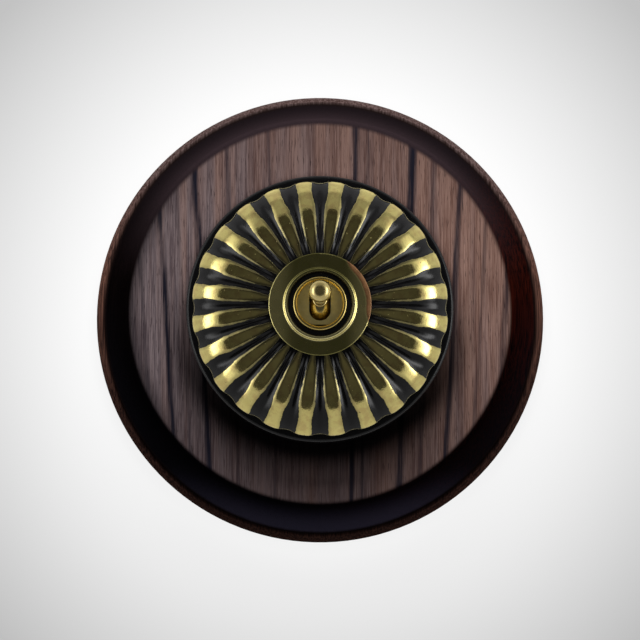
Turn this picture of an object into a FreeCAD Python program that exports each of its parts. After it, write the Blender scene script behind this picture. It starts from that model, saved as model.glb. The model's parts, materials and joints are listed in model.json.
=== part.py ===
import FreeCAD, Part
import math
import os

# A brass dolly switch with a fluted cover, on a moulded base and a turned wooden pattress.
# Millimetres and degrees. X points right, Y up the wall and Z out of the wall.
# The origin is the middle of the pattress's back face.

# Turned wooden pattress
PATTRESS_DIA = 114.0
PATTRESS_DEPTH = 20.0
MOULDING_WIDTH = 9.75
FACE_ROUND = 1.75
FOOT_BEAD_HEIGHT = 6.4
FOOT_BEAD_BULGE = 1.6
QUIRK_WIDTH = 0.8
QUIRK_HEIGHT = 0.8
CABLE_HOLE_DIA = 32.0

# Fluted brass cover
COVER_DIA = 62.8
COVER_RISE = 9.2
COVER_SHOULDER_WIDTH = 8.8
COVER_SHOULDER_SLOPE = 20.0
COVER_WALL = 0.9
CROWN_WALL = 0.9
CROWN_SPOT_MARGIN = 0.7
FLUTE_COUNT = 24
FLUTE_DEPTH = 1.0
FLUTE_ROUND = 3.2
UPPER_FACETS = 2
LOWER_FACETS = 3

# Moulded base
BASE_MARGIN = 1.3
BASE_HEIGHT = 10.8
BASE_FLOOR = 4.5
BASE_EDGE_ROUND = 1.2
SPIGOT_HEIGHT = 1.2
SPIGOT_WALL = 1.8
SPIGOT_CLEARANCE = 0.2
POCKET_MARGIN = 1.0
POCKET_DEPTH = 1.5
WIRE_HOLE_DIA = 6.4
WIRE_HOLE_X = 9.5
WIRE_HOLE_Y = 8.5

# Fixings into the wall and the pattress
WALL_SCREW_HOLE_DIA = 4.4
WALL_SCREW_INSET = 4.017
BASE_SCREW_DIA = 3.5
BASE_SCREW_HEAD_DIA = 6.4
BASE_SCREW_HEAD_HEIGHT = 1.8
BASE_SCREW_INSET = 5.35
BASE_SCREW_ANGLE = -45.0
BASE_SCREW_BACK_WALL = 8.0

# Bezel ring, ring nut and bush
BEZEL_DIA = 24.7
BEZEL_OVERHANG = 1.85
BEZEL_EDGE = 0.85
BEZEL_EDGE_ROUND = 0.3
BEZEL_SLOPE_RISE = 0.2
BEZEL_FILLET = 0.4
BEZEL_BEAD_DIA = 1.2
BEZEL_FLOOR = 0.8
NUT_WALL = 1.0
NUT_RISE = 3.0
NUT_GAP = 1.05
THREAD_DIA = 10.8
THREAD_FLAT = 0.35
BUSH_RISE = 2.4
BUSH_BODY_DIA = 15.0
BUSH_BODY_HEIGHT = 4.1
BUSH_COLLAR_STEP = 1.5
BUSH_COLLAR_TAIL = 0.5
SLOT_END_WALL = 1.3

# Dolly and its sprung plunger
DOLLY_LEAN = 12.0
PIVOT_BELOW_CROWN = 2.1
BARREL_WIDTH = 4.9
PIN_DIA = 1.5
PIN_RECESS = 0.5
DOLLY_REACH = 11.0
TIP_BALL_DIA = 5.4
STEM_DIA = 2.6
STEM_FLARE = 0.15
RING_DIA = 1.0
LOW_RING_REACH = 4.4
HIGH_RING_REACH = 7.4
TAIL_STEP = 0.25
PLUNGER_DIA = 2.8
PLUNGER_SHOWN = 2.5
PLUNGER_HELD = 1.7
PLUNGER_NOSE_GAP = 0.12
SPRING_LENGTH = 3.25
SPRING_WIRE_DIA = 0.36
SPRING_TURNS = 5

# Rocker and its contacts
ROCKER_TILT = 12.0
ROCKER_WIDTH = 5.0
ROCKER_SHEET = 1.0
ROCKER_VEE_RISE = 0.9
TRUNNION_DIA = 2.4
TRUNNION_ROOT = 0.6
CONTACT_ARM = 6.2
CONTACT_DIA = 2.2
MOVING_CONTACT_HEIGHT = 0.5
CONTACT_GAP = 0.15
STRIP_SHEET = 0.5
STRIP_WIDTH = 5.0
STRIP_END = 0.6
CHEEK_SHEET = 0.8
CHEEK_GAP = 0.3
CHEEK_WALL = 0.95
CHEEK_RISE = 0.8
COMMON_X = -8.5
COMMON_Y = -12.0

# Terminals
TERMINAL_WIDTH = 6.0
TERMINAL_HEIGHT = 5.5
TERMINAL_INSET = 9.05
TERMINAL_WIRE_DIA = 2.8
TERMINAL_WIRE_HEIGHT = 2.2
TERMINAL_SCREW_DIA = 2.4
TERMINAL_SCREW_HEAD_DIA = 4.0
TERMINAL_SCREW_HEAD_HEIGHT = 1.4

# Bridge that carries the bush
BRIDGE_SHEET = 1.5
BRIDGE_WIDTH = 8.0
BRIDGE_EYE_MARGIN = 1.0
BRIDGE_LEG_X = 12.5
BRIDGE_FOOT = 5.7
BRIDGE_SCREW_DIA = 2.8
BRIDGE_SCREW_HEAD_DIA = 4.6
BRIDGE_SCREW_HEAD_HEIGHT = 1.6
BRIDGE_SCREW_TIP_WALL = 0.6

# Clearances on the radius, and the driver slot of every screw
RUNNING_FIT = 0.05
THREAD_FIT = 0.05
PASSING_FIT = 0.2
SLOT_FIT = 0.15
DRIVER_SLOT_WIDTH = 0.6
DRIVER_SLOT_DEPTH = 0.6

# How far a cutting shape runs past the face it opens, and what counts as one place
OVERCUT = 1.0
SAME_PLACE = 1e-6

# Levels above the back face
FLOOR_Z = PATTRESS_DEPTH + BASE_FLOOR
RIM_Z = PATTRESS_DEPTH + BASE_HEIGHT
CROWN_Z = RIM_Z + COVER_RISE
BRIDGE_TOP_Z = CROWN_Z - CROWN_WALL - BUSH_BODY_HEIGHT
DOLLY_Z = CROWN_Z - PIVOT_BELOW_CROWN
STRIP_TOP_Z = FLOOR_Z + STRIP_SHEET
TRUNNION_R = TRUNNION_DIA / 2
ROCKER_Z = STRIP_TOP_Z + RUNNING_FIT + TRUNNION_R

# Radii that several pieces share
PATTRESS_R = PATTRESS_DIA / 2
CABLE_HOLE_R = CABLE_HOLE_DIA / 2
POCKET_R = CABLE_HOLE_R + POCKET_MARGIN
COVER_R = COVER_DIA / 2
SHOULDER_R = COVER_R - COVER_SHOULDER_WIDTH
BEZEL_R = BEZEL_DIA / 2
SEAT_R = BEZEL_R - BEZEL_OVERHANG
THREAD_R = THREAD_DIA / 2
CROWN_HOLE_R = THREAD_R + PASSING_FIT
NUT_HOLE_R = THREAD_R + THREAD_FIT
NUT_R = NUT_HOLE_R + NUT_WALL
BUSH_BODY_R = BUSH_BODY_DIA / 2
BUSH_COLLAR_R = BUSH_BODY_R - BUSH_COLLAR_STEP
BARREL_HALF = BARREL_WIDTH / 2
SLOT_END_Y = THREAD_R - SLOT_END_WALL - SLOT_FIT - BARREL_HALF
PLUNGER_R = PLUNGER_DIA / 2
BORE_R = PLUNGER_R + RUNNING_FIT
WALL_SCREW_HOLE_R = WALL_SCREW_HOLE_DIA / 2
BASE_SCREW_R = BASE_SCREW_DIA / 2
BRIDGE_SCREW_R = BRIDGE_SCREW_DIA / 2
BRIDGE_SCREW_X = BRIDGE_LEG_X + BRIDGE_FOOT / 2
BRIDGE_SCREW_GRIP = BASE_FLOOR - POCKET_DEPTH - BRIDGE_SCREW_TIP_WALL
BASE_SCREW_BITE = PATTRESS_DEPTH - BASE_SCREW_BACK_WALL

# The closed arm of the rocker lies level, so its plate height fixes both contacts.
ARM_TOP = ROCKER_VEE_RISE * math.cos(math.radians(ROCKER_TILT))
ARM_UNDERSIDE = ARM_TOP - ROCKER_SHEET
FIXED_CONTACT_TOP_Z = ROCKER_Z + ARM_UNDERSIDE - MOVING_CONTACT_HEIGHT - CONTACT_GAP

# Reach of the plunger below the dolly's pivot, with the dolly halfway over
NOSE_CENTRE = (
    DOLLY_Z - ROCKER_Z - ROCKER_VEE_RISE
    - (PLUNGER_R + PLUNGER_NOSE_GAP) / math.cos(math.radians(ROCKER_TILT))
)
NOSE_END = NOSE_CENTRE + PLUNGER_R
TAIL_END = NOSE_END - PLUNGER_SHOWN
PLUNGER_TOP = TAIL_END - PLUNGER_HELD
BORE_TOP = PLUNGER_TOP - SPRING_LENGTH

ORIGIN = FreeCAD.Vector(0, 0, 0)
ALONG_X = FreeCAD.Vector(1, 0, 0)
ALONG_Y = FreeCAD.Vector(0, 1, 0)
ALONG_Z = FreeCAD.Vector(0, 0, 1)


def section(start, steps):
    """A closed face of (radius, height) points; a step of four numbers is an arc's middle and end."""
    edges = []
    here = FreeCAD.Vector(start[0], 0, start[1])
    for step in list(steps) + [start]:
        there = FreeCAD.Vector(step[-2], 0, step[-1])
        if len(step) == 4:
            middle = FreeCAD.Vector(step[0], 0, step[1])
            edges.append(Part.Arc(here, middle, there).toShape())
        elif here.distanceToPoint(there) > SAME_PLACE:
            edges.append(Part.LineSegment(here, there).toShape())
        here = there
    return Part.Face(Part.Wire(edges))


def turned(start, steps):
    """A section turned about the Z axis."""
    return section(start, steps).revolve(ORIGIN, ALONG_Z, 360)


def arc_step(centre, radius, start_angle, end_angle):
    """An arc for a section, given by its centre and its angles from the radius direction."""
    points = []
    for angle in ((start_angle + end_angle) / 2, end_angle):
        points.append(centre[0] + radius * math.cos(math.radians(angle)))
        points.append(centre[1] + radius * math.sin(math.radians(angle)))
    return tuple(points)


def rod(x, y, low, high, radius):
    """An upright cylinder between two heights."""
    return Part.makeCylinder(radius, high - low, FreeCAD.Vector(x, y, low))


def cross_rod(y, z, half_length, radius):
    """A cylinder along X, centred on X = 0."""
    return Part.makeCylinder(radius, 2 * half_length, FreeCAD.Vector(-half_length, y, z), ALONG_X)


def block(x_range, y_range, z_range):
    """A box between three pairs of limits."""
    low = [min(pair) for pair in (x_range, y_range, z_range)]
    high = [max(pair) for pair in (x_range, y_range, z_range)]
    return Part.makeBox(high[0] - low[0], high[1] - low[1], high[2] - low[2], FreeCAD.Vector(*low))


def swung(shape, angle, z):
    """A shape made about the origin, turned about X and lifted to its pivot."""
    shape.rotate(ORIGIN, ALONG_X, angle)
    shape.translate(FreeCAD.Vector(0, 0, z))
    return shape


def slotted_screw(x, y, seat_z, radius, length, head_r, head_height):
    """A pan-head screw with its head on seat_z, its shank below and a driver slot along X."""
    head = rod(x, y, seat_z, seat_z + head_height, head_r)
    shank = rod(x, y, seat_z - length, seat_z, radius)
    slot = block(
        (x - 2 * head_r, x + 2 * head_r),
        (y - DRIVER_SLOT_WIDTH / 2, y + DRIVER_SLOT_WIDTH / 2),
        (seat_z + head_height - DRIVER_SLOT_DEPTH, seat_z + 2 * head_height),
    )
    return head.fuse(shank).cut(slot).removeSplitter()


def wall_screw_places():
    return [(side * (recess_radius() - WALL_SCREW_INSET), 0) for side in (-1, 1)]


def base_screw_places():
    places = []
    for turn in (0, 180):
        angle = math.radians(BASE_SCREW_ANGLE + turn)
        radius = recess_radius() - BASE_SCREW_INSET
        places.append((radius * math.cos(angle), radius * math.sin(angle)))
    return places


def bridge_screw_places():
    return [(side * BRIDGE_SCREW_X, 0) for side in (-1, 1)]


def terminal_places():
    """The middle of each terminal block, by name."""
    return {
        "common": (COMMON_X, COMMON_Y),
        "upper": (0, recess_radius() - TERMINAL_INSET),
        "lower": (0, TERMINAL_INSET - recess_radius()),
    }


def cover_curve(inset):
    """Points (radius, height) down the cover's curve, a given depth below the crests of its flutes.

    Two arcs that meet at the shoulder, each in short straight steps. The first leaves the seat
    level, and the crests of the second end on the rim.
    """
    slope = math.radians(COVER_SHOULDER_SLOPE)
    upper_radius = (SHOULDER_R - SEAT_R) / math.sin(slope)
    upper_z = CROWN_Z - upper_radius
    shoulder_z = upper_z + upper_radius * math.cos(slope)
    out = COVER_SHOULDER_WIDTH
    down = shoulder_z - RIM_Z
    lower_radius = (out ** 2 + down ** 2) / (2 * (down * math.cos(slope) - out * math.sin(slope)))
    lower_r = SHOULDER_R - lower_radius * math.sin(slope)
    lower_z = shoulder_z - lower_radius * math.cos(slope)
    rim_slope = math.acos((RIM_Z - lower_z) / lower_radius)
    points = []
    for number in range(UPPER_FACETS):
        angle = slope * number / UPPER_FACETS
        length = upper_radius - inset
        points.append((SEAT_R + length * math.sin(angle), upper_z + length * math.cos(angle)))
    for number in range(LOWER_FACETS + 1):
        angle = slope + (rim_slope - slope) * number / LOWER_FACETS
        length = lower_radius - inset
        points.append((lower_r + length * math.sin(angle), lower_z + length * math.cos(angle)))
    return points


def spigot_radius():
    """The base's spigot clears the inside of the cover at the spigot's own height."""
    (upper_r, upper_z), (lower_r, lower_z) = cover_curve(FLUTE_DEPTH + COVER_WALL)[-2:]
    share = (upper_z - RIM_Z - SPIGOT_HEIGHT) / (upper_z - lower_z)
    return upper_r + share * (lower_r - upper_r) - SPIGOT_CLEARANCE


def recess_radius():
    return spigot_radius() - SPIGOT_WALL


def pattress():
    bead_r = PATTRESS_R - FOOT_BEAD_BULGE
    quirk_r = bead_r - QUIRK_WIDTH
    quirk_z = FOOT_BEAD_HEIGHT + QUIRK_HEIGHT
    face_r = PATTRESS_R - MOULDING_WIDTH
    neck_r = face_r + FACE_ROUND
    neck_z = PATTRESS_DEPTH - FACE_ROUND
    cove_width = quirk_r - neck_r
    cove_height = neck_z - quirk_z
    cove_r = (cove_width ** 2 + cove_height ** 2) / (2 * cove_width)
    cove_end = 180 + math.degrees(math.asin(cove_height / cove_r))
    block_of_wood = turned(
        (CABLE_HOLE_R, 0),
        [
            (bead_r, 0),
            (PATTRESS_R, FOOT_BEAD_HEIGHT / 2, bead_r, FOOT_BEAD_HEIGHT),
            (quirk_r, FOOT_BEAD_HEIGHT),
            (quirk_r, quirk_z),
            arc_step((neck_r + cove_r, neck_z), cove_r, cove_end, 180),
            arc_step((face_r, neck_z), FACE_ROUND, 0, 90),
            (CABLE_HOLE_R, PATTRESS_DEPTH),
        ],
    )
    for x, y in wall_screw_places():
        block_of_wood = block_of_wood.cut(rod(x, y, -OVERCUT, PATTRESS_DEPTH + OVERCUT, WALL_SCREW_HOLE_R))
    for x, y in base_screw_places():
        low = PATTRESS_DEPTH - BASE_SCREW_BITE - PASSING_FIT
        pilot = rod(x, y, low, PATTRESS_DEPTH + OVERCUT, BASE_SCREW_R + THREAD_FIT)
        block_of_wood = block_of_wood.cut(pilot)
    return block_of_wood


def base():
    base_r = COVER_R + BASE_MARGIN
    spigot_top = RIM_Z + SPIGOT_HEIGHT
    pocket_z = PATTRESS_DEPTH + POCKET_DEPTH
    edge_centre = (base_r - BASE_EDGE_ROUND, RIM_Z - BASE_EDGE_ROUND)
    moulding = turned(
        (POCKET_R, PATTRESS_DEPTH),
        [
            (base_r, PATTRESS_DEPTH),
            (base_r, RIM_Z - BASE_EDGE_ROUND),
            arc_step(edge_centre, BASE_EDGE_ROUND, 0, 90),
            (spigot_radius(), RIM_Z),
            (spigot_radius(), spigot_top),
            (recess_radius(), spigot_top),
            (recess_radius(), FLOOR_Z),
            (0, FLOOR_Z),
            (0, pocket_z),
            (POCKET_R, pocket_z),
        ],
    )
    holes = []
    for x, y in wall_screw_places():
        holes.append(rod(x, y, PATTRESS_DEPTH - OVERCUT, FLOOR_Z + OVERCUT, WALL_SCREW_HOLE_R))
    for x, y in base_screw_places():
        holes.append(rod(x, y, PATTRESS_DEPTH - OVERCUT, FLOOR_Z + OVERCUT, BASE_SCREW_R + PASSING_FIT))
    for x, y in bridge_screw_places():
        low = FLOOR_Z - BRIDGE_SCREW_GRIP
        holes.append(rod(x, y, low, FLOOR_Z + OVERCUT, BRIDGE_SCREW_R + THREAD_FIT))
    for side in (-1, 1):
        y = side * WIRE_HOLE_Y
        holes.append(rod(WIRE_HOLE_X, y, PATTRESS_DEPTH, FLOOR_Z + OVERCUT, WIRE_HOLE_DIA / 2))
    for hole in holes:
        moulding = moulding.cut(hole)
    return moulding


def mitre_lines(points, reach):
    """For each point of a bent line, two points on its mitre, a reach to either side."""
    lines = []
    for number, here in enumerate(points):
        before = points[max(number - 1, 0)]
        after = points[min(number + 1, len(points) - 1)]
        along = FreeCAD.Vector(0, 0, 0)
        for first, last in ((before, here), (here, after)):
            if first != last:
                along = along + FreeCAD.Vector(last[0] - first[0], 0, last[1] - first[1]).normalize()
        along.normalize()
        out_r = reach * -along.z
        out_z = reach * along.x
        lines.append(((here[0] - out_r, here[1] - out_z), (here[0] + out_r, here[1] + out_z)))
    return lines


def stretched(points, reach):
    """A bent line run on straight past both its ends."""
    longer = list(points)
    for end, beside in ((0, 1), (-1, -2)):
        (end_r, end_z), (beside_r, beside_z) = points[end], points[beside]
        share = reach / math.hypot(end_r - beside_r, end_z - beside_z)
        longer[end] = (end_r + share * (end_r - beside_r), end_z + share * (end_z - beside_z))
    return longer


def flute_rib():
    """The round rib of one flute: straight rods along the cover's curve, mitred where they meet."""
    middle = stretched(cover_curve(FLUTE_ROUND), FLUTE_ROUND / 2)
    lines = mitre_lines(middle, 2 * FLUTE_ROUND)
    rods = []
    for number in range(len(middle) - 1):
        first, last = [FreeCAD.Vector(r, 0, z) for r, z in middle[number:number + 2]]
        along = (last - first).normalize()
        length = first.distanceToPoint(last) + 2 * FLUTE_ROUND
        rib = Part.makeCylinder(FLUTE_ROUND, length, first - along * FLUTE_ROUND, along)
        (inner_first, outer_first), (inner_last, outer_last) = lines[number:number + 2]
        mitre = section(inner_first, [outer_first, outer_last, inner_last])
        mitre.translate(ALONG_Y * -FLUTE_ROUND)
        rods.append(rib.common(mitre.extrude(ALONG_Y * 2 * FLUTE_ROUND)))
    return rods


def flute_wedge(start, steps):
    """A section turned through one flute, with X along its middle."""
    wedge = section(start, steps).revolve(ORIGIN, ALONG_Z, 360 / FLUTE_COUNT)
    return wedge.rotated(ORIGIN, ALONG_Z, -180 / FLUTE_COUNT)


def one_flute():
    """A solid wedge of the cover's outside with one rib, cut off level at the rim."""
    valley = cover_curve(FLUTE_DEPTH)
    low = valley[-1][1]
    outside = COVER_R + FLUTE_ROUND
    wedge = flute_wedge((0, low), [*reversed(valley), (SEAT_R, CROWN_Z), (0, CROWN_Z)])
    room = flute_wedge((0, RIM_Z), [(outside, RIM_Z), (outside, CROWN_Z), (0, CROWN_Z)])
    for rib in flute_rib():
        wedge = wedge.fuse(rib)
    return wedge.common(room).removeSplitter()


def cover_outside():
    """The flutes side by side, sewn together without the faces between them."""
    half_angle = 180 / FLUTE_COUNT
    skin = []
    for face in one_flute().Faces:
        middle = face.CenterOfMass
        if abs(abs(math.degrees(math.atan2(middle.y, middle.x))) - half_angle) > SAME_PLACE:
            skin.append(face)
    faces = []
    for number in range(FLUTE_COUNT):
        for face in skin:
            faces.append(face.rotated(ORIGIN, ALONG_Z, (2 * number + 1) * half_angle))
    whole = Part.makeCompound(faces)
    whole.sewShape()
    solid = Part.Solid(whole.Shells[0])
    if solid.Volume < 0:
        solid.reverse()
    return solid.removeSplitter()


def fluted_cover():
    """Fluted outside and plain turned inside, spot-faced under the crown for the bush."""
    spot_r = BUSH_BODY_R + CROWN_SPOT_MARGIN
    crown_under = CROWN_Z - CROWN_WALL
    inside = cover_curve(FLUTE_DEPTH + COVER_WALL)
    cavity = turned(
        (0, inside[-1][1]),
        [
            *reversed(inside),
            (spot_r, inside[0][1]),
            (spot_r, crown_under),
            (CROWN_HOLE_R, crown_under),
            (CROWN_HOLE_R, CROWN_Z + OVERCUT),
            (0, CROWN_Z + OVERCUT),
        ],
    )
    return cover_outside().cut(cavity)


def bezel_ring():
    bead_r = BEZEL_BEAD_DIA / 2
    bead_inner = NUT_R + NUT_GAP
    bead_outer = bead_inner + BEZEL_BEAD_DIA
    edge_z = CROWN_Z + BEZEL_EDGE
    bead_z = edge_z + BEZEL_SLOPE_RISE + BEZEL_FILLET
    edge_centre = (BEZEL_R - BEZEL_EDGE_ROUND, edge_z - BEZEL_EDGE_ROUND)
    return turned(
        (CROWN_HOLE_R, CROWN_Z),
        [
            (BEZEL_R, CROWN_Z),
            (BEZEL_R, edge_z - BEZEL_EDGE_ROUND),
            arc_step(edge_centre, BEZEL_EDGE_ROUND, 0, 90),
            (bead_outer + BEZEL_FILLET, edge_z + BEZEL_SLOPE_RISE),
            arc_step((bead_outer + BEZEL_FILLET, bead_z), BEZEL_FILLET, 270, 180),
            arc_step((bead_inner + bead_r, bead_z), bead_r, 0, 180),
            (bead_inner, CROWN_Z + BEZEL_FLOOR),
            (CROWN_HOLE_R, CROWN_Z + BEZEL_FLOOR),
        ],
    )


def ring_nut():
    low = CROWN_Z + BEZEL_FLOOR
    shoulder = CROWN_Z + NUT_RISE - NUT_WALL / 2
    return turned(
        (NUT_HOLE_R, low),
        [
            (NUT_R, low),
            (NUT_R, shoulder),
            arc_step((NUT_HOLE_R + NUT_WALL / 2, shoulder), NUT_WALL / 2, 0, 180),
        ],
    )


def dolly_slot(low, high):
    """The slot through the bush, with round ends along Y."""
    half_width = BARREL_HALF + SLOT_FIT
    slot = block((-half_width, half_width), (-SLOT_END_Y, SLOT_END_Y), (low, high))
    for side in (-1, 1):
        slot = slot.fuse(rod(0, side * SLOT_END_Y, low, high, half_width))
    return slot


def bush():
    low = BRIDGE_TOP_Z - BRIDGE_SHEET - BUSH_COLLAR_TAIL
    shoulder = CROWN_Z - CROWN_WALL
    top = CROWN_Z + BUSH_RISE
    stud = turned(
        (0, low),
        [
            (BUSH_COLLAR_R, low),
            (BUSH_COLLAR_R, BRIDGE_TOP_Z),
            (BUSH_BODY_R, BRIDGE_TOP_Z),
            (BUSH_BODY_R, shoulder),
            (THREAD_R, shoulder),
            (THREAD_R, top),
            (0, top),
        ],
    )
    flat = block((-THREAD_R, THREAD_R), (-2 * THREAD_R, THREAD_FLAT - THREAD_R), (shoulder, top + OVERCUT))
    pin_hole = cross_rod(0, DOLLY_Z, BUSH_BODY_R + OVERCUT, PIN_DIA / 2 + THREAD_FIT)
    return stud.cut(dolly_slot(low - OVERCUT, top + OVERCUT)).cut(flat).cut(pin_hole)


def pivot_pin():
    return cross_rod(0, DOLLY_Z, BUSH_BODY_R - PIN_RECESS, PIN_DIA / 2)


def ring_steps(reach, radius):
    """A half-round ring on the stem, as steps of the dolly's section."""
    ring_r = RING_DIA / 2
    return [(radius, reach - ring_r), (radius + ring_r, reach, radius, reach + ring_r)]


def dolly():
    """A lever turned with its tail, fused to a barrel that fills the slot, and leaned up the wall."""
    tail_r = BARREL_HALF - TAIL_STEP
    stem_r = STEM_DIA / 2
    neck_r = stem_r + STEM_FLARE
    tip_r = TIP_BALL_DIA / 2
    tip_angle = -math.degrees(math.acos(neck_r / tip_r))
    lever = turned(
        (0, -TAIL_END),
        [
            (tail_r, -TAIL_END),
            (tail_r, 0),
            (stem_r, 0),
            *ring_steps(LOW_RING_REACH, stem_r),
            *ring_steps(HIGH_RING_REACH, neck_r),
            (neck_r, DOLLY_REACH + tip_r * math.sin(math.radians(tip_angle))),
            arc_step((0, DOLLY_REACH), tip_r, tip_angle, 90),
        ],
    )
    barrel = turned(
        (0, -BARREL_HALF),
        [
            (SLOT_END_Y, -BARREL_HALF),
            arc_step((SLOT_END_Y, 0), BARREL_HALF, -90, 90),
            (0, BARREL_HALF),
        ],
    )
    barrel.rotate(ORIGIN, ALONG_Y, 90)
    lever = lever.fuse(barrel)
    lever = lever.cut(rod(0, 0, -TAIL_END - OVERCUT, -BORE_TOP, BORE_R))
    lever = lever.cut(cross_rod(0, 0, BARREL_HALF + OVERCUT, PIN_DIA / 2 + RUNNING_FIT))
    return swung(lever, -DOLLY_LEAN, DOLLY_Z)


def plunger():
    nose = turned(
        (0, -NOSE_END),
        [
            arc_step((0, -NOSE_CENTRE), PLUNGER_R, -90, 0),
            (PLUNGER_R, -PLUNGER_TOP),
            (0, -PLUNGER_TOP),
        ],
    )
    return swung(nose, -DOLLY_LEAN, DOLLY_Z)


def plunger_spring():
    wire_r = SPRING_WIRE_DIA / 2
    coil_r = BORE_R - RUNNING_FIT - wire_r
    length = SPRING_LENGTH - SPRING_WIRE_DIA - 2 * RUNNING_FIT
    helix = Part.makeHelix(length / SPRING_TURNS, length, coil_r)
    start = FreeCAD.Vector(coil_r, 0, 0)
    wire_section = Part.Wire(Part.makeCircle(wire_r, start, ALONG_Y))
    spring = Part.Wire(helix.Edges).makePipeShell([wire_section], True, True)
    spring.translate(FreeCAD.Vector(0, 0, -PLUNGER_TOP + RUNNING_FIT + wire_r))
    return swung(spring, -DOLLY_LEAN, DOLLY_Z)


def rocker():
    half = ROCKER_WIDTH / 2
    arm_end = CONTACT_ARM + CONTACT_DIA / 2 + STRIP_END
    pin_end = half + CHEEK_GAP + CHEEK_SHEET + CHEEK_GAP
    root = half - TRUNNION_ROOT
    nose_room = block((-root, root), (-TRUNNION_DIA, TRUNNION_DIA), (-TRUNNION_DIA, TRUNNION_DIA))
    vee = cross_rod(0, 0, pin_end, TRUNNION_R).cut(nose_room)
    for side in (-1, 1):
        arm = block((-half, half), (0, side * arm_end), (ARM_UNDERSIDE, ARM_TOP))
        arm.rotate(ORIGIN, ALONG_X, side * ROCKER_TILT)
        vee = vee.fuse(arm)
    return swung(vee.removeSplitter(), ROCKER_TILT, ROCKER_Z)


def rocker_contacts():
    rivets = []
    for side in (-1, 1):
        low = ARM_UNDERSIDE - MOVING_CONTACT_HEIGHT
        rivet = rod(0, side * CONTACT_ARM, low, ARM_UNDERSIDE, CONTACT_DIA / 2)
        rivet.rotate(ORIGIN, ALONG_X, side * ROCKER_TILT)
        rivets.append(swung(rivet, ROCKER_TILT, ROCKER_Z))
    return Part.makeCompound(rivets)


def common_contact():
    """The cradle for the rocker's trunnions, with its strip to the common terminal."""
    cheek_inner = ROCKER_WIDTH / 2 + CHEEK_GAP
    cheek_outer = cheek_inner + CHEEK_SHEET
    notch_r = TRUNNION_R + RUNNING_FIT
    cheek_y = notch_r + CHEEK_WALL
    top = ROCKER_Z + CHEEK_RISE
    near_x = COMMON_X + TERMINAL_WIDTH / 2
    far_x = COMMON_X - TERMINAL_WIDTH / 2
    strip = block((near_x, cheek_outer), (-cheek_y, cheek_y), (FLOOR_Z, STRIP_TOP_Z))
    end_y = COMMON_Y - TERMINAL_WIDTH / 2
    lead = block((far_x, near_x), (end_y, -BRIDGE_WIDTH / 2 - STRIP_END), (FLOOR_Z, STRIP_TOP_Z))
    link = block((near_x - STRIP_WIDTH / 2, near_x), (end_y, cheek_y), (FLOOR_Z, STRIP_TOP_Z))
    strip = strip.fuse(lead).fuse(link)
    for side in (-1, 1):
        cheek = block(
            (side * cheek_inner, side * cheek_outer), (-cheek_y, cheek_y), (FLOOR_Z, top)
        )
        strip = strip.fuse(cheek)
    notch = cross_rod(0, ROCKER_Z, cheek_outer + OVERCUT, notch_r)
    mouth = block(
        (-cheek_outer - OVERCUT, cheek_outer + OVERCUT), (-notch_r, notch_r), (ROCKER_Z, top + OVERCUT)
    )
    return strip.cut(notch).cut(mouth).removeSplitter()


def fixed_strip(side):
    """The strip of one fixed contact, from under the rocker's end to its terminal."""
    half = STRIP_WIDTH / 2
    inner = CONTACT_ARM - CONTACT_DIA / 2 - STRIP_END
    outer = recess_radius() - TERMINAL_INSET + TERMINAL_WIDTH / 2
    return block((-half, half), (side * inner, side * outer), (FLOOR_Z, STRIP_TOP_Z))


def fixed_contacts():
    rivets = []
    for side in (-1, 1):
        rivets.append(
            rod(0, side * CONTACT_ARM, STRIP_TOP_Z, FIXED_CONTACT_TOP_Z, CONTACT_DIA / 2)
        )
    return Part.makeCompound(rivets)


def terminal(x, y):
    """A block with a wire hole along X and a clamp screw hole from the top."""
    half = TERMINAL_WIDTH / 2
    top = STRIP_TOP_Z + TERMINAL_HEIGHT
    wire_z = STRIP_TOP_Z + TERMINAL_WIRE_HEIGHT
    body = block((x - half, x + half), (y - half, y + half), (STRIP_TOP_Z, top))
    wire_start = FreeCAD.Vector(x - half - OVERCUT, y, wire_z)
    wire_hole = Part.makeCylinder(TERMINAL_WIRE_DIA / 2, TERMINAL_WIDTH + 2 * OVERCUT, wire_start, ALONG_X)
    screw_hole = rod(x, y, wire_z, top + OVERCUT, TERMINAL_SCREW_DIA / 2 + THREAD_FIT)
    return body.cut(wire_hole).cut(screw_hole)


def terminal_screws():
    seat = STRIP_TOP_Z + TERMINAL_HEIGHT
    length = TERMINAL_HEIGHT - TERMINAL_WIRE_HEIGHT
    screws = []
    for x, y in terminal_places().values():
        screws.append(
            slotted_screw(
                x, y, seat, TERMINAL_SCREW_DIA / 2, length,
                TERMINAL_SCREW_HEAD_DIA / 2, TERMINAL_SCREW_HEAD_HEIGHT,
            )
        )
    return Part.makeCompound(screws)


def bridge():
    half = BRIDGE_WIDTH / 2
    eye_r = BUSH_BODY_R + BRIDGE_EYE_MARGIN
    under = BRIDGE_TOP_Z - BRIDGE_SHEET
    strap = block((-BRIDGE_LEG_X, BRIDGE_LEG_X), (-half, half), (under, BRIDGE_TOP_Z))
    strap = strap.fuse(rod(0, 0, under, BRIDGE_TOP_Z, eye_r))
    for side in (-1, 1):
        outer = side * BRIDGE_LEG_X
        inner = side * (BRIDGE_LEG_X - BRIDGE_SHEET)
        toe = side * (BRIDGE_LEG_X + BRIDGE_FOOT)
        strap = strap.fuse(block((inner, outer), (-half, half), (FLOOR_Z, BRIDGE_TOP_Z)))
        strap = strap.fuse(block((inner, toe), (-half, half), (FLOOR_Z, FLOOR_Z + BRIDGE_SHEET)))
    strap = strap.cut(rod(0, 0, under - OVERCUT, BRIDGE_TOP_Z + OVERCUT, BUSH_COLLAR_R + THREAD_FIT))
    for x, y in bridge_screw_places():
        hole = rod(x, y, FLOOR_Z - OVERCUT, FLOOR_Z + BRIDGE_SHEET + OVERCUT, BRIDGE_SCREW_R + PASSING_FIT)
        strap = strap.cut(hole)
    return strap.removeSplitter()


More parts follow.
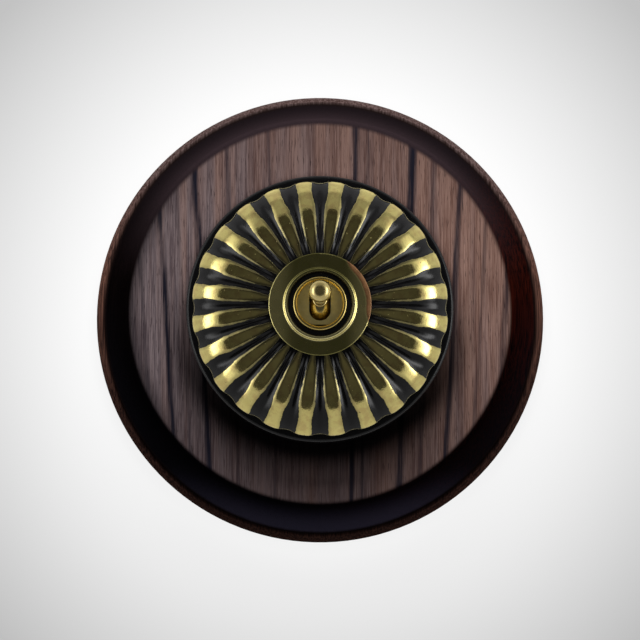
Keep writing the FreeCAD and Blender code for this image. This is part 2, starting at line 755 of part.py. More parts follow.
def bridge_screws():
    screws = []
    for x, y in bridge_screw_places():
        screws.append(
            slotted_screw(
                x, y, FLOOR_Z + BRIDGE_SHEET, BRIDGE_SCREW_R,
                BRIDGE_SHEET + BRIDGE_SCREW_GRIP - THREAD_FIT,
                BRIDGE_SCREW_HEAD_DIA / 2, BRIDGE_SCREW_HEAD_HEIGHT,
            )
        )
    return Part.makeCompound(screws)


def base_screws():
    screws = []
    for x, y in base_screw_places():
        screws.append(
            slotted_screw(
                x, y, FLOOR_Z, BASE_SCREW_R, BASE_FLOOR + BASE_SCREW_BITE,
                BASE_SCREW_HEAD_DIA / 2, BASE_SCREW_HEAD_HEIGHT,
            )
        )
    return Part.makeCompound(screws)


def all_pieces():
    places = terminal_places()
    return {
        "pattress": pattress(),
        "base": base(),
        "fluted_cover": fluted_cover(),
        "bezel_ring": bezel_ring(),
        "ring_nut": ring_nut(),
        "bush": bush(),
        "pivot_pin": pivot_pin(),
        "dolly": dolly(),
        "plunger": plunger(),
        "plunger_spring": plunger_spring(),
        "rocker": rocker(),
        "rocker_contacts": rocker_contacts(),
        "common_contact": common_contact(),
        "upper_contact": fixed_strip(1),
        "lower_contact": fixed_strip(-1),
        "fixed_contacts": fixed_contacts(),
        "common_terminal": terminal(*places["common"]),
        "upper_terminal": terminal(*places["upper"]),
        "lower_terminal": terminal(*places["lower"]),
        "terminal_screws": terminal_screws(),
        "bridge": bridge(),
        "bridge_screws": bridge_screws(),
        "base_screws": base_screws(),
    }


os.makedirs("parts", exist_ok=True)
for node, shape in all_pieces().items():
    shape.exportStep("parts/" + node + ".step")
    print(node, "valid" if shape.isValid() else "INVALID", round(shape.Volume, 2), "mm3")
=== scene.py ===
"""Finishes, fluted cover, light and camera for the round dolly switch."""
import bmesh
import bpy
import json
import math
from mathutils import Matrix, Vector

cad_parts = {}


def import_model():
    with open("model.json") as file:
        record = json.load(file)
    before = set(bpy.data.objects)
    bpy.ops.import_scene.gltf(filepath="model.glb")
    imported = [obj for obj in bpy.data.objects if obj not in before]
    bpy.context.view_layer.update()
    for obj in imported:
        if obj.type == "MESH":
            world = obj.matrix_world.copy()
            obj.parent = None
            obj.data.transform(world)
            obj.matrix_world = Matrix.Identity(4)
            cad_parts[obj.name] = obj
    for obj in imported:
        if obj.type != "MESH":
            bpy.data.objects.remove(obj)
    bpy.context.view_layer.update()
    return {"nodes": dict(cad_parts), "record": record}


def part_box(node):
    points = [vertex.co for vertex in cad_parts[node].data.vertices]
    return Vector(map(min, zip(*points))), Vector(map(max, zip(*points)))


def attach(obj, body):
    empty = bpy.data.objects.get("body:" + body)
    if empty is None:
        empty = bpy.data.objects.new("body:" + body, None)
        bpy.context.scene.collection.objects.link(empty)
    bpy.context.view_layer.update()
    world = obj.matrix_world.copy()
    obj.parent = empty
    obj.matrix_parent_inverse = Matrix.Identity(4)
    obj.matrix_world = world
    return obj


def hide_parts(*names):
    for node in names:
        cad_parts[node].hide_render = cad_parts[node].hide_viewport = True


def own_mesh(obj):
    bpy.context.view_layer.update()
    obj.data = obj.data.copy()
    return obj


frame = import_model()

MM = 0.001

# Sizes of the fluted cover in mm, and its slope where the skirt begins
COVER_LOW, COVER_HIGH = (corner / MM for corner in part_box("fluted_cover"))
RIM_Z = COVER_LOW.z
CROWN_Z = COVER_HIGH.z
COVER_R = 31.4
SKIRT_WIDTH = 8.8
SHOULDER_R = COVER_R - SKIRT_WIDTH
SHOULDER_SLOPE = math.radians(20.0)
SEAT_R = 10.5
SPOT_R = 8.2
CROWN_HOLE_R = 5.6
COVER_WALL = 0.9
LIP_ROUND = 0.2

# Flutes: their number, their depth in mm and the way in mm over which they grow from the seat
FLUTE_COUNT = 24
FLUTE_DEPTH = 1.0
FLUTE_GROWTH = 9.5

# Over this reach in mm, towards the rim, the crests get narrower and the flutes lose a share of depth
RIM_REACH = 14.0
CREST_BREADTH = 1.0
RIM_BREADTH = 0.35
RIM_FADE = 0.52

# How finely the cover is divided and worked out, and the angle from which its edges are sharp
COLUMNS_PER_FLUTE = 28
OUTER_ROWS = 48
INNER_ROWS = 10
SLOPE_STEPS = 20
SHARP_ANGLE = math.radians(45.0)

# Half the width of the polished brass on a crest, in mm, at each radius
BRASS_HALF_WIDTHS = (
    (12.0, 0.45), (14.1, 0.8), (16.1, 1.2), (18.5, 1.55), (21.0, 1.8), (24.4, 1.95),
    (25.8, 1.7), (27.3, 1.57), (29.7, 1.8), (31.4, 2.05),
)

# The half-width in mm that white stands for in the ramp of those widths
WHITE_HALF_WIDTH = 3.0

# Radii in mm between which the dull edge of that brass gets weaker
DULL_EDGE_R = (23.0, 26.5)

# Radii of the turned steps, in mm
BASE_R = 32.7
WOOD_FACE_R = 47.25
WOOD_NECK_R = 49.0
WOOD_QUIRK_R = 54.6

# Bezel, in mm: radii of its groove and of its bead's edge, and how soft they are
GROOVE_R = 7.95
GROOVE_BLUR = 0.1
BEAD_R = 9.05
BEAD_BLUR = 0.15

# Bezel, in mm: where its painted highlight on the sides and its coppery patch begin and are full
PALE_SIDES = (5.5, 10.5)
COPPERY_PATCH_R = (10.7, 12.0)
COPPERY_PATCH_RIGHT = (9.6, 11.4)

# Turned brass: pale colour, deep colour, and roughness where it is most polished
TURNED_BRASS = {
    "golden_brass": ((0.84, 0.65, 0.23, 1.0), (0.72, 0.52, 0.15, 1.0), 0.14),
    "olive_brass": ((0.36, 0.33, 0.12, 1.0), (0.27, 0.25, 0.08, 1.0), 0.2),
    "satin_brass": ((0.96, 0.80, 0.34, 1.0), (0.84, 0.68, 0.27, 1.0), 0.44),
    "pale_brass": ((0.86, 0.70, 0.31, 1.0), (0.76, 0.60, 0.24, 1.0), 0.16),
}

# What tarnish adds to that roughness
TARNISH_ROUGHNESS = 0.12

# Dark streaks across the wood: place and half-width in mm, and strength
STREAKS = (
    (-43.9, 0.4, 0.5), (-38.2, 0.55, 1.0), (-34.0, 0.3, 0.4), (-29.4, 0.6, 1.0), (-21.8, 0.35, 0.5),
    (-12.1, 0.35, 0.5), (8.4, 0.5, 1.0), (11.2, 0.35, 0.8), (21.3, 0.75, 1.0), (26.6, 0.35, 0.5),
    (33.2, 0.55, 0.9), (40.0, 0.35, 0.5), (46.0, 0.5, 0.8),
)

# How far the ramps of the streaks reach to either side, in mm
STREAK_SPAN = 60.0

# In half-widths from its middle: where a streak is still at full strength, and where it ends
STREAK_CORE = 0.7
STREAK_REACH = 1.6

# The part of its range that a noise mostly keeps to
NOISE_RANGE = (0.3, 0.7)

# Floor: size and height in metres, and its share of own light
FLOOR_SIZE = 3.0
FLOOR_Z = -0.0002
FLOOR_GLOW = 0.88

# Floor: a radius in mm, and its greys at shares of that radius, a painted pool of light brightest round
# the switch
FLOOR_R = 200.0
FLOOR_GREYS = ((0.0, 0.99), (0.3, 0.98), (0.4, 0.82), (0.575, 0.53), (1.0, 0.5))

# Brightness of the glow on either side and of its core, as shares of white
SIDE_GLOW = 0.8
CORE_GLOW = 2.6

# Key lamp, in metres and watts
KEY_PLACE = Vector((0.0, 0.5, 0.36))
KEY_AIM = Vector((0.0, 0.0, 0.02))
KEY_WIDTH = 0.45
KEY_HEIGHT = 0.3
KEY_POWER = 5.4

# Camera: distance and target in metres, lens in mm
CAMERA_DISTANCE = 0.6
CAMERA_LENS = 132.1
CAMERA_TILT = math.radians(5.2)
CAMERA_TARGET = Vector((0.0, -0.0004, 0.0032))


def shade(red, green, blue):
    """A colour as seen on screen, 0 to 255, in linear light."""
    def linear(level):
        level /= 255.0
        return level / 12.92 if level <= 0.04045 else ((level + 0.055) / 1.055) ** 2.4
    return (linear(red), linear(green), linear(blue), 1.0)


def grey(level):
    """A grey in linear light, 0 to 1."""
    return (level, level, level, 1.0)


class Nodes:
    """A node tree with short calls for its nodes."""

    def __init__(self, tree):
        self.tree = tree

    def node(self, kind, inputs=(), **settings):
        """A new node, with its inputs by number or name and its settings by name."""
        made = self.tree.nodes.new("ShaderNode" + kind)
        for name, value in settings.items():
            setattr(made, name, value)
        for key, value in dict(inputs).items():
            self.feed(made.inputs[key], value)
        return made

    def feed(self, socket, value):
        """Links an input to another node's output, or sets it to a plain value."""
        if isinstance(value, bpy.types.NodeSocket):
            self.tree.links.new(value, socket)
        else:
            socket.default_value = value

    def math(self, operation, *values):
        return self.node("Math", enumerate(values), operation=operation).outputs[0]

    def mix(self, share, first, second):
        return self.node("Mix", {0: share, 6: first, 7: second}, data_type="RGBA").outputs[2]

    def spread(self, value, low, high, to_low=0.0, to_high=1.0):
        """Maps low..high to another range, smoothly and clamped."""
        inputs = {0: value, 1: low, 2: high, 3: to_low, 4: to_high}
        return self.node("MapRange", inputs, interpolation_type="SMOOTHSTEP").outputs[0]

    def total(self, first, *others):
        for other in others:
            first = self.math("ADD", first, other)
        return first

    def product(self, first, *others):
        for other in others:
            first = self.math("MULTIPLY", first, other)
        return first


class Finish(Nodes):
    """One procedural material. Lengths in it are in mm."""

    def __init__(self, name):
        self.material = bpy.data.materials.new(name)
        self.material.use_nodes = True
        super().__init__(self.material.node_tree)
        self.shader = self.tree.nodes["Principled BSDF"]
        metres = self.node("TexCoord").outputs["Object"]
        self.place = self.node("VectorMath", {0: metres, "Scale": 1 / MM}, operation="SCALE").outputs[0]
        self.x, self.y, self.z = self.node("SeparateXYZ", {0: self.place}).outputs

    def surface(self, **inputs):
        """Sets the shader's inputs, with underscores for the spaces in their names."""
        for name, value in inputs.items():
            self.feed(self.shader.inputs[name.replace("_", " ")], value)

    def stretched(self, x, y, z):
        """The place with its axes scaled, for noise drawn out along one of them."""
        return self.node("VectorMath", {0: self.place, 1: (x, y, z)}, operation="MULTIPLY").outputs[0]

    def noise(self, vector, scale=1.0, detail=3.0, roughness=0.55):
        inputs = {"Vector": vector, "Scale": scale, "Detail": detail, "Roughness": roughness}
        return self.node("TexNoise", inputs).outputs[0]

    def varied(self, noise, low=0.0, high=1.0):
        """A noise, mapped from the range it mostly keeps to."""
        return self.spread(noise, *NOISE_RANGE, low, high)

    def ramp(self, value, stops):
        made = self.node("ValToRGB", {0: value})
        elements = made.color_ramp.elements
        elements.remove(elements[1])
        elements[0].position, elements[0].color = stops[0]
        for position, colour in stops[1:]:
            elements.new(position).color = colour
        return made.outputs[0]

    def radius(self):
        """The distance from the switch's axis."""
        flat = self.node("CombineXYZ", {0: self.x, 1: self.y}).outputs[0]
        return self.node("VectorMath", {0: flat}, operation="LENGTH").outputs["Value"]

    def bump(self, height, depth):
        """A bump whose full height is the depth in mm."""
        inputs = {"Height": height, "Strength": 1.0, "Distance": depth * MM}
        self.surface(Normal=self.node("Bump", inputs).outputs[0])


def upper_and_lower_arc():
    """The two tangent arcs of a crest, each as centre radius, centre height and arc radius."""
    upper = (SHOULDER_R - SEAT_R) / math.sin(SHOULDER_SLOPE)
    shoulder_z = CROWN_Z - upper * (1 - math.cos(SHOULDER_SLOPE))
    run = COVER_R - SHOULDER_R
    fall = shoulder_z - RIM_Z
    lean = fall * math.cos(SHOULDER_SLOPE) - run * math.sin(SHOULDER_SLOPE)
    lower = (run ** 2 + fall ** 2) / (2 * lean)
    lower_centre_r = SHOULDER_R - lower * math.sin(SHOULDER_SLOPE)
    lower_centre_z = shoulder_z - lower * math.cos(SHOULDER_SLOPE)
    return (SEAT_R, CROWN_Z - upper, upper), (lower_centre_r, lower_centre_z, lower)


UPPER_ARC, LOWER_ARC = upper_and_lower_arc()


def dome_point(slope, inset):
    """Radius and height on the dome where a crest has this slope, sunk by the inset."""
    centre_r, centre_z, arc = UPPER_ARC if slope < SHOULDER_SLOPE else LOWER_ARC
    return centre_r + (arc - inset) * math.sin(slope), centre_z + (arc - inset) * math.cos(slope)


def eased(share):
    """Rises from 0 to 1 as the share does, with level ends."""
    return share ** 3 * (10 - 15 * share + 6 * share ** 2)


def flute_inset(slope, turn):
    """Depth below the crest at an angle to it: a plain wave inside, a flatter one at the rim."""
    radius = dome_point(slope, 0.0)[0]
    grown = min((radius - SEAT_R) / FLUTE_GROWTH, 1.0)
    inward = max(min((COVER_R - radius) / RIM_REACH, 1.0), 0.0)
    breadth = RIM_BREADTH + (CREST_BREADTH - RIM_BREADTH) * inward
    off_crest = (abs(turn) * FLUTE_COUNT / math.pi) ** (1 + breadth)
    wave = (1 - math.cos(math.pi * off_crest)) / 2
    flat = eased(off_crest)
    depth = FLUTE_DEPTH * math.sin(grown * math.pi / 2) * (1 - RIM_FADE * (1 - inward) ** 2)
    return depth * (flat + (wave - flat) * inward)


def rim_slope(inset_at):
    """The slope at which the dome, sunk by inset_at(slope), comes down to the rim."""
    slope = SHOULDER_SLOPE
    for _ in range(SLOPE_STEPS):
        slope = math.acos((RIM_Z - LOWER_ARC[1]) / (LOWER_ARC[2] - inset_at(slope)))
    return slope


def rounded_corner(before, corner, after):
    """Two points that round a corner between the points before and after it."""
    points = []
    for share in (1 / 3, 2 / 3):
        weights = ((1 - share) ** 2, 2 * share * (1 - share), share ** 2)
        radius, height = (
            sum(weight * place for weight, place in zip(weights, places))
            for places in zip(before, corner, after)
        )
        points.append((radius, height))
    return points


def cover_section(turn):
    """The closed section of the cover at an angle from a crest, as radii and heights."""
    end = rim_slope(lambda slope: flute_inset(slope, turn))
    section = [(CROWN_HOLE_R, CROWN_Z), (SEAT_R, CROWN_Z)]
    for row in range(1, OUTER_ROWS + 1):
        slope = end * row / (OUTER_ROWS + 1)
        section.append(dome_point(slope, flute_inset(slope, turn)))
    corner = dome_point(end, flute_inset(end, turn))
    before = (corner[0] - LIP_ROUND * math.cos(end), corner[1] + LIP_ROUND * math.sin(end))
    after = (corner[0] - LIP_ROUND, RIM_Z)
    section += [before, *rounded_corner(before, corner, after), after]
    inner_inset = FLUTE_DEPTH + COVER_WALL
    inner_end = rim_slope(lambda slope: inner_inset)
    for row in range(INNER_ROWS, -1, -1):
        section.append(dome_point(inner_end * row / INNER_ROWS, inner_inset))
    crown_under = CROWN_Z - COVER_WALL
    section += [(SPOT_R, CROWN_Z - inner_inset), (SPOT_R, crown_under), (CROWN_HOLE_R, crown_under)]
    return section


def fluted_cover():
    """The pressed dome, as one closed mesh of sections round the axis."""
    flute = math.tau / FLUTE_COUNT
    offsets = [flute * (column / COLUMNS_PER_FLUTE - 0.5) for column in range(COLUMNS_PER_FLUTE)]
    sections = [cover_section(offset) for offset in offsets]
    grid = bmesh.new()
    columns = []
    for count in range(FLUTE_COUNT * COLUMNS_PER_FLUTE):
        turn = flute * count / COLUMNS_PER_FLUTE
        section = sections[count % COLUMNS_PER_FLUTE]
        columns.append([
            grid.verts.new((radius * math.cos(turn) * MM, radius * math.sin(turn) * MM, height * MM))
            for radius, height in section
        ])
    for left, right in zip(columns, columns[1:] + columns[:1]):
        for row in range(len(left)):
            grid.faces.new((left[row - 1], left[row], right[row], right[row - 1]))
    bmesh.ops.recalc_face_normals(grid, faces=grid.faces)
    mesh = bpy.data.meshes.new("fluted_dome")
    grid.to_mesh(mesh)
    grid.free()
    mesh.shade_smooth()
    mesh.set_sharp_from_angle(angle=SHARP_ANGLE)
    dome = bpy.data.objects.new("fluted_dome", mesh)
    bpy.context.collection.objects.link(dome)
    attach(dome, "housing")
    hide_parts("fluted_cover")
    return dome


def streak_mask(finish, across):
    """The dark streaks of the wood, as one value across the grain."""
    width = 2 * STREAK_SPAN
    place = finish.math("MULTIPLY_ADD", across, 1 / width, 0.5)
    masks = []
    # One ramp for each side, because a ramp holds 32 stops at most
    for side in (-1, 1):
        stops = [(0.0, grey(0.0))]
        for middle, half, strength in STREAKS:
            if middle * side > 0:
                core, reach = STREAK_CORE * half, STREAK_REACH * half
                for offset, level in ((-reach, 0.0), (-core, strength), (core, strength), (reach, 0.0)):
                    stops.append(((middle + offset) / width + 0.5, grey(level)))
        masks.append(finish.ramp(place, stops))
    return finish.math("MAXIMUM", *masks)


def wood_face(finish, fibre, pores, edge, lower):
    """Colour of the flat face: grain, streaks and pores, with a painted shadow round the base and more
    painted light and shade.
    """
    wander = finish.noise(finish.stretched(0.05, 0.02, 0.05), detail=2.0)
    fan = finish.math("MULTIPLY_ADD", finish.y, 0.0018, 1.0)
    ragged = finish.noise(finish.stretched(1.6, 0.03, 1.6), detail=4.0, roughness=0.7)
    across = finish.total(
        finish.math("DIVIDE", finish.x, fan),
        finish.math("MULTIPLY_ADD", wander, 1.6, -0.8),
        finish.math("MULTIPLY_ADD", ragged, 2.0, -1.0),
    )
    bands = finish.noise(finish.stretched(0.45, 0.012, 0.45), detail=3.0)
    flecks = finish.noise(finish.stretched(5.0, 0.12, 5.0), detail=3.0, roughness=0.6)
    tint = finish.noise(finish.stretched(0.4, 0.012, 0.4), detail=2.0)
    # Tone that varies at random and is warmer and paler towards the upper right: partly the wood's own
    # tone, partly painted light.
    rightward = finish.math("MULTIPLY_ADD", finish.y, 0.5, finish.x)
    warm_and_painted_light = finish.spread(finish.math("MULTIPLY_ADD", tint, 150.0, rightward), 10.0, 140.0)
    pale = finish.mix(warm_and_painted_light, shade(122, 109, 111), shade(145, 115, 104))
    deep = finish.mix(warm_and_painted_light, shade(72, 62, 66), shade(98, 70, 61))
    level = finish.total(
        finish.product(fibre, 0.4), finish.product(bands, 0.2), finish.product(flecks, 0.4),
    )
    face = finish.mix(finish.spread(level, 0.39, 0.6), deep, pale)
    # Painted shade: the face gets darker towards its upper edge and, more, towards its lower edge.
    darkening = finish.total(
        finish.spread(finish.y, 12.0, 50.0, 0.0, 0.4),
        finish.spread(finish.y, -45.0, -5.0, 0.55, 0.0),
    )
    face = finish.mix(darkening, face, shade(58, 44, 42))
    patches = finish.noise(finish.stretched(0.6, 0.04, 0.6), detail=3.0)
    patchy = finish.spread(patches, 0.2, 0.5, 0.35, 1.0)
    face = finish.mix(finish.product(streak_mask(finish, across), patchy), face, shade(28, 27, 36))
    face = finish.mix(finish.product(pores, 0.7), face, shade(40, 32, 33))
    # Painted shadow of the base: a narrow ring all round it and a wider band below it.
    painted_contact_shadow = finish.spread(edge, BASE_R, BASE_R + 3.0, 0.6, 0.0)
    shaded = finish.spread(edge, BASE_R + 2.0, BASE_R + 9.0, 0.97, 0.0)
    painted_base_shadow = finish.math("MAXIMUM", painted_contact_shadow, finish.product(shaded, lower))
    face = finish.mix(painted_base_shadow, face, shade(3, 3, 4))
    # Painted shade along the left edge of the face.
    leftward = finish.spread(finish.x, -46.0, -28.0, 0.7, 0.0)
    painted_edge_shade = finish.product(finish.spread(edge, WOOD_FACE_R - 3.5, WOOD_FACE_R), leftward)
    return finish.mix(painted_edge_shade, face, shade(34, 31, 34))


def wood_hollow(finish, fibre, edge, upper, lower):
    """Colour of the hollow edge: nearly black, partly as painted shade, with painted light that makes
    it redder and lighter to the right and greyer above and below.
    """
    # Painted light: redder and lighter towards the right.
    redder = finish.spread(finish.x, -20.0, 45.0)
    lit = finish.mix(redder, shade(8, 4, 4), shade(46, 13, 7))
    hollow = finish.mix(finish.spread(fibre, 0.35, 0.65), shade(3, 2, 2), lit)
    outward = finish.spread(edge, WOOD_NECK_R - 1.5, WOOD_QUIRK_R)
    # Painted light high up: the inner wall lighter than the outer.
    painted_top_light = finish.mix(outward, shade(41, 32, 35), shade(19, 14, 16))
    hollow = finish.mix(upper, hollow, painted_top_light)
    # Painted light and shade low down: the inner wall dark, the outer lighter, most at the very bottom.
    lowest = finish.spread(finish.y, -54.0, -36.0, 1.0, 0.0)
    painted_low_light = finish.mix(lowest, shade(12, 11, 15), shade(52, 49, 64))
    painted_low_shading = finish.mix(outward, shade(2, 2, 3), painted_low_light)
    return finish.mix(finish.product(lower, 0.85), hollow, painted_low_shading)


def wood_rim(finish, fibre, edge, upper, lower):
    """Colour of the outer bead, in painted light and shade: dark in the quirk, paler along its crown,
    darker low down.
    """
    # Painted highlight along the crown of the bead, with another hue high up.
    crown = finish.mix(upper, shade(112, 77, 65), shade(92, 76, 74))
    rounded = finish.mix(finish.spread(fibre, 0.35, 0.65), shade(46, 32, 29), crown)
    # Painted shade in the quirk.
    raised = finish.spread(edge, WOOD_QUIRK_R + 0.1, WOOD_QUIRK_R + 1.1)
    rim = finish.mix(raised, shade(20, 13, 12), rounded)
    # Painted shade towards the bottom.
    return finish.mix(finish.product(lower, 0.7), rim, shade(20, 13, 14))


def dark_wood():
    """Straight-grained dark hardwood: pale on the turned face, stained nearly black in the hollow,
    partly as painted shade.
    """
    finish = Finish("dark_wood")
    fibre = finish.noise(finish.stretched(2.5, 0.04, 2.5), detail=5.0, roughness=0.62)
    pores = finish.spread(finish.noise(finish.stretched(4.0, 0.25, 4.0), detail=2.0), 0.6, 0.72)
    edge = finish.math("MULTIPLY_ADD", fibre, 0.4, finish.radius())
    # Masks for painted light and shade: upper grows upwards, lower grows downwards.
    upper = finish.spread(finish.y, 5.0, 42.0)
    lower = finish.spread(finish.y, -30.0, 15.0, 1.0, 0.0)
    face = wood_face(finish, fibre, pores, edge, lower)
    hollow = wood_hollow(finish, fibre, edge, upper, lower)
    rim = wood_rim(finish, fibre, edge, upper, lower)
    colour = finish.mix(finish.spread(edge, WOOD_FACE_R - 0.5, WOOD_NECK_R - 1.0), face, hollow)
    colour = finish.mix(finish.spread(edge, WOOD_QUIRK_R - 0.5, WOOD_QUIRK_R + 0.3), colour, rim)
    finish.surface(Base_Color=colour, Roughness=finish.varied(fibre, 0.42, 0.58))
    finish.surface(Specular_IOR_Level=0.0)
    finish.bump(finish.math("MULTIPLY_ADD", pores, -0.5, fibre), 0.12)
    return finish.material


def black_moulding():
    """Glossy black moulding with a little haze and dust."""
    finish = Finish("black_moulding")
    haze = finish.noise(finish.place, 0.25, 4.0)
    dust = finish.spread(finish.noise(finish.place, 3.0, 2.0), 0.66, 0.78)
    colour = finish.mix(finish.product(dust, 0.25), shade(7, 7, 8), shade(46, 44, 40))
    finish.surface(Base_Color=colour, Roughness=finish.varied(haze, 0.2, 0.34))
    finish.surface(Specular_IOR_Level=0.3)
    finish.bump(finish.noise(finish.place, 0.6, 3.0), 0.015)
    return finish.material


def past_brass_edge(finish, radius):
    """The distance past the wavering edge of the polished brass, less than 0 on the brass."""
    turn = finish.math("ARCTAN2", finish.y, finish.x)
    sector = finish.math("FRACT", finish.product(turn, FLUTE_COUNT / math.tau))
    off_crest = finish.math("ABSOLUTE", finish.math("SUBTRACT", sector, 0.5))
    across = finish.product(off_crest, radius, math.tau / FLUTE_COUNT)
    stops = [(at / COVER_R, grey(half / WHITE_HALF_WIDTH)) for at, half in BRASS_HALF_WIDTHS]
    widths = finish.ramp(finish.math("DIVIDE", radius, COVER_R), stops)
    half_width = finish.product(widths, WHITE_HALF_WIDTH)
    waver = finish.math("SUBTRACT", finish.noise(finish.place, 0.7, 3.0), 0.5)
    return finish.total(finish.math("SUBTRACT", across, half_width), finish.product(waver, 0.5))


def antique_brass():
    """Brass polished along the crests, with black lacquer left in the valleys."""
    finish = Finish("antique_brass")
    radius = finish.radius()
    past_edge = past_brass_edge(finish, radius)
    crest = finish.spread(past_edge, -0.08, 0.08, 1.0, 0.0)
    specks = finish.spread(finish.noise(finish.place, 1.5, 2.0), 0.71, 0.75, 1.0, 0.15)
    lip = finish.spread(finish.z, RIM_Z + 0.12, RIM_Z + 0.4, 1.0, 0.0)
    brass = finish.math("MAXIMUM", finish.product(crest, specks), lip)

    mottle = finish.noise(finish.place, 0.35, 3.0)
    tone = finish.mix(mottle, (0.84, 0.71, 0.24, 1.0), (0.93, 0.80, 0.31, 1.0))
    stained = finish.spread(finish.noise(finish.place, 0.5, 5.0), 0.42, 0.66, 0.0, 0.55)
    tone = finish.mix(stained, tone, (0.66, 0.47, 0.19, 1.0))
    dull = finish.product(
        finish.spread(past_edge, -0.9, -0.1), finish.spread(radius, *DULL_EDGE_R, 0.95, 0.3),
    )
    tone = finish.mix(dull, tone, (0.24, 0.21, 0.10, 1.0))
    # The bare metal of the lip is tinted paler, a painted highlight along the rim edge.
    tone = finish.mix(finish.product(lip, 0.7), tone, (0.74, 0.70, 0.58, 1.0))
    lacquer = finish.mix(finish.noise(finish.place, 0.5, 3.0), shade(7, 7, 8), shade(16, 15, 15))
    colour = finish.mix(brass, lacquer, tone)
    polish = finish.varied(finish.noise(finish.place, 0.8, 4.0), 0.09, 0.16)
    gloss = finish.math("MULTIPLY_ADD", finish.math("SUBTRACT", 1.0, brass), 0.03, polish)
    finish.surface(Base_Color=colour, Metallic=brass, Roughness=gloss, Specular_IOR_Level=0.28)
    finish.bump(finish.noise(finish.place, 1.2, 3.0), 0.02)
    return finish.material


def aged_bezel(finish, radius, tarnish, colour):
    """Colour and metal of the bezel: black groove, partly painted shade, painted highlights on the
    sides and the lower bead, and a matt coppery patch.
    """
    outside = finish.spread(radius, GROOVE_R - GROOVE_BLUR, GROOVE_R + GROOVE_BLUR)
    # Painted highlight on the left and right sides.
    painted_side_highlight = finish.spread(finish.math("ABSOLUTE", finish.x), *PALE_SIDES, 0.0, 0.85)
    colour = finish.mix(painted_side_highlight, colour, (0.88, 0.78, 0.33, 1.0))
    # Painted highlight on the lower half of the bead.
    bead = finish.product(
        finish.spread(radius, BEAD_R - BEAD_BLUR, BEAD_R + BEAD_BLUR, 1.0, 0.0),
        finish.spread(finish.y, -3.0, 5.0, 1.0, 0.0),
    )
    colour = finish.mix(bead, colour, (0.95, 0.84, 0.40, 1.0))
    rightward = finish.math("MULTIPLY_ADD", finish.y, 0.35, finish.x)
    # A matt coppery patch on the right, near the outer edge.
    coppery_patch = finish.product(
        finish.spread(radius, *COPPERY_PATCH_R),
        finish.spread(rightward, *COPPERY_PATCH_RIGHT),
        finish.spread(tarnish, 0.3, 0.6, 0.5, 1.0),
    )
    colour = finish.mix(finish.spread(coppery_patch, 0.0, 0.3), colour, (0.25, 0.125, 0.055, 1.0))
    # Black in the groove: lacquer, and painted shade of the deep recess.
    colour = finish.mix(outside, shade(10, 9, 8), colour)
    metal = finish.product(outside, finish.math("MULTIPLY_ADD", coppery_patch, -0.7, 1.0))
    return colour, metal


def turned_brass(name, bezel=False):
    """Brass turned on a lathe, with fine rings and uneven tarnish, aged as the bezel if asked."""
    pale, deep, polish = TURNED_BRASS[name]
    finish = Finish(name)
    radius = finish.radius()
    rings = finish.noise(finish.math("MULTIPLY_ADD", radius, 9.0, finish.z), 1.0, 3.0)
    tarnish = finish.noise(finish.place, 0.4, 4.0)
    colour = finish.mix(finish.varied(tarnish), pale, deep)
    metal = 1.0
    if bezel:
        colour, metal = aged_bezel(finish, radius, tarnish, colour)
    roughness = finish.varied(tarnish, polish, polish + TARNISH_ROUGHNESS)
    finish.surface(Base_Color=colour, Metallic=metal, Roughness=roughness)
    finish.bump(rings, 0.008)
    return finish.material


def brushed_brass():
    """Plain machined brass with marks along one way."""
    finish = Finish("brushed_brass")
    marks = finish.noise(finish.stretched(8.0, 1.2, 1.2), detail=3.0)
    darkening = finish.varied(finish.noise(finish.place, 0.5, 4.0))
    colour = finish.mix(darkening, (0.56, 0.45, 0.18, 1.0), (0.42, 0.32, 0.12, 1.0))
    finish.surface(Base_Color=colour, Metallic=1.0, Roughness=finish.varied(marks, 0.38, 0.52))
    finish.bump(marks, 0.02)
    return finish.material


def plain_metal(name, pale, deep):
    """Bright drawn metal with faint scratches."""
    finish = Finish(name)
    marks = finish.noise(finish.stretched(2.0, 2.0, 6.0), detail=4.0)
    finish.surface(Base_Color=finish.mix(marks, pale, deep), Metallic=1.0)
    finish.surface(Roughness=finish.varied(marks, 0.2, 0.36))
    finish.bump(marks, 0.01)
    return finish.material


def turned_fibre():
    """Red-brown turned fibre with a mottled, matt face."""
    finish = Finish("fibre")
    mottle = finish.noise(finish.place, 1.5, 5.0)
    finish.surface(Base_Color=finish.mix(mottle, shade(120, 62, 40), shade(168, 96, 64)))
    finish.surface(Roughness=finish.varied(mottle, 0.55, 0.75))
    finish.bump(mottle, 0.03)
    return finish.material


def give(piece, material):
    """Makes a material the only one of a piece."""
    piece.data.materials.clear()
    piece.data.materials.append(material)


def dress(dome):
    """Gives every shown piece its finish."""
    steel = plain_metal("bright_steel", grey(0.62), grey(0.5))
    silver = plain_metal("contact_silver", (0.80, 0.79, 0.76, 1.0), (0.68, 0.67, 0.64, 1.0))
    by_slot = {
        "dark_wood": dark_wood(),
        "black_moulding": black_moulding(),
        "polished_brass": turned_brass("golden_brass"),
        "brushed_brass": brushed_brass(),
        "bright_steel": steel,
        "contact_silver": silver,
        "fibre": turned_fibre(),
    }
    nodes = frame["nodes"]
    for row in frame["record"]["subparts"]:
        finish = by_slot.get(row["material_slot"])
        if finish:
            give(nodes[row["node"]], finish)
    give(nodes["bezel_ring"], turned_brass("olive_brass", bezel=True))
    give(nodes["bush"], turned_brass("satin_brass"))
    give(nodes["dolly"], turned_brass("pale_brass"))
    give(dome, antique_brass())


def shorten_spring():
    """Gives the plunger's spring a mesh of its own."""
    spring = frame["nodes"]["plunger_spring"]
    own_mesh(spring)


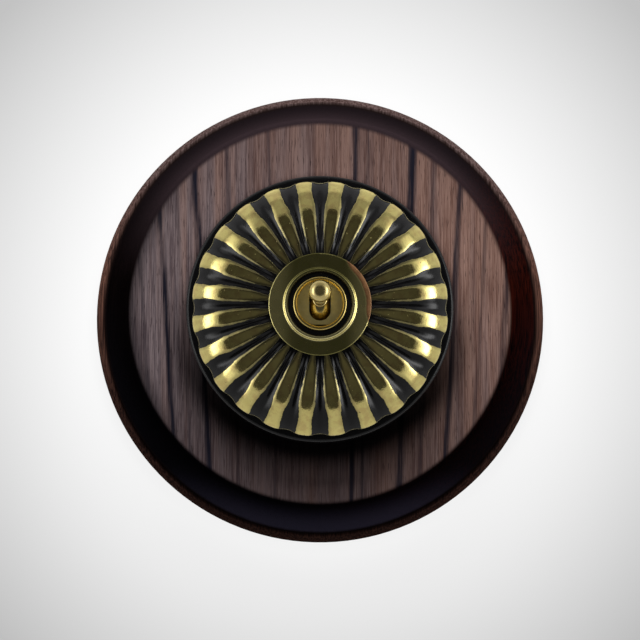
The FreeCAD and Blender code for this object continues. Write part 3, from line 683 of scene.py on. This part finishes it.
def floor():
    """A wide pale floor, whitest round the switch in a painted pool of light, seen mostly by its own
    light but with a shadow.
    """
    bpy.ops.mesh.primitive_plane_add(size=FLOOR_SIZE, location=(0.0, 0.0, FLOOR_Z))
    plane = bpy.context.object
    plane.name = "floor"
    finish = Finish("floor")
    stops = [(place, grey(level)) for place, level in FLOOR_GREYS]
    colour = finish.ramp(finish.math("DIVIDE", finish.radius(), FLOOR_R), stops)
    finish.surface(Base_Color=colour, Roughness=0.9)
    path = finish.node("LightPath").outputs
    seen = finish.math("MAXIMUM", path["Is Camera Ray"], path["Is Glossy Ray"])
    glow = finish.node("Emission", {"Color": colour, "Strength": 1.0}).outputs[0]
    share = finish.product(seen, FLOOR_GLOW)
    both = finish.node("MixShader", {0: share, 1: finish.shader.outputs[0], 2: glow}).outputs[0]
    finish.feed(finish.tree.nodes["Material Output"].inputs[0], both)
    give(plane, finish.material)


def world():
    """Studio surroundings: dark overhead, a bright band all round, and a soft glow on either side."""
    made = bpy.data.worlds.new("studio")
    bpy.context.scene.world = made
    made.use_nodes = True
    sky = Nodes(made.node_tree)
    x, y, z = sky.node("SeparateXYZ", {0: sky.node("TexCoord").outputs["Generated"]}).outputs
    aside = sky.math("ABSOLUTE", x)
    overhead = sky.spread(z, 0.6, 1.0, 0.04, 0.06)
    low = sky.spread(sky.math("MULTIPLY_ADD", aside, 0.05, z), 0.54, 0.59, 1.0, 0.0)
    band = sky.math("MULTIPLY_ADD", low, sky.spread(y, -0.2, 0.8, 0.4, 0.25), overhead)
    sides = sky.spread(sky.math("MULTIPLY_ADD", y, 0.12, aside), 0.55, 0.95)
    glow = sky.product(sides, sky.spread(z, 0.0, 0.16), sky.spread(z, 0.32, 0.54, 1.0, 0.0), SIDE_GLOW)
    # The core of the glow, brighter on the right
    core_height = sky.product(sky.spread(z, 0.0, 0.14), sky.spread(z, 0.22, 0.42, 1.0, 0.0))
    rightward = sky.spread(x, -0.9, 0.9, 0.65, 1.4)
    core = sky.product(sky.spread(aside, 0.82, 0.975), core_height, rightward, CORE_GLOW)
    background = made.node_tree.nodes["Background"]
    sky.feed(background.inputs["Color"], sky.total(band, glow, core))


def key_lamp():
    """A soft box up the wall and out from it, left out of reflections."""
    data = bpy.data.lights.new("key", "AREA")
    data.shape = "RECTANGLE"
    data.size = KEY_WIDTH
    data.size_y = KEY_HEIGHT
    data.energy = KEY_POWER
    made = bpy.data.objects.new("key", data)
    bpy.context.collection.objects.link(made)
    made.location = KEY_PLACE
    made.rotation_euler = (KEY_AIM - KEY_PLACE).to_track_quat("-Z", "Z").to_euler()
    made.visible_glossy = False
    made.visible_camera = False


def camera():
    """A long lens that looks at the switch from a little below."""
    data = bpy.data.cameras.new("camera")
    data.lens = CAMERA_LENS
    made = bpy.data.objects.new("camera", data)
    bpy.context.collection.objects.link(made)
    back = Vector((0.0, -math.sin(CAMERA_TILT), math.cos(CAMERA_TILT)))
    made.location = CAMERA_TARGET + CAMERA_DISTANCE * back
    made.rotation_euler = back.to_track_quat("Z", "Y").to_euler()
    bpy.context.scene.camera = made


dress(fluted_cover())
shorten_spring()
floor()
world()
key_lamp()
camera()
bpy.context.scene.view_settings.view_transform = "Standard"
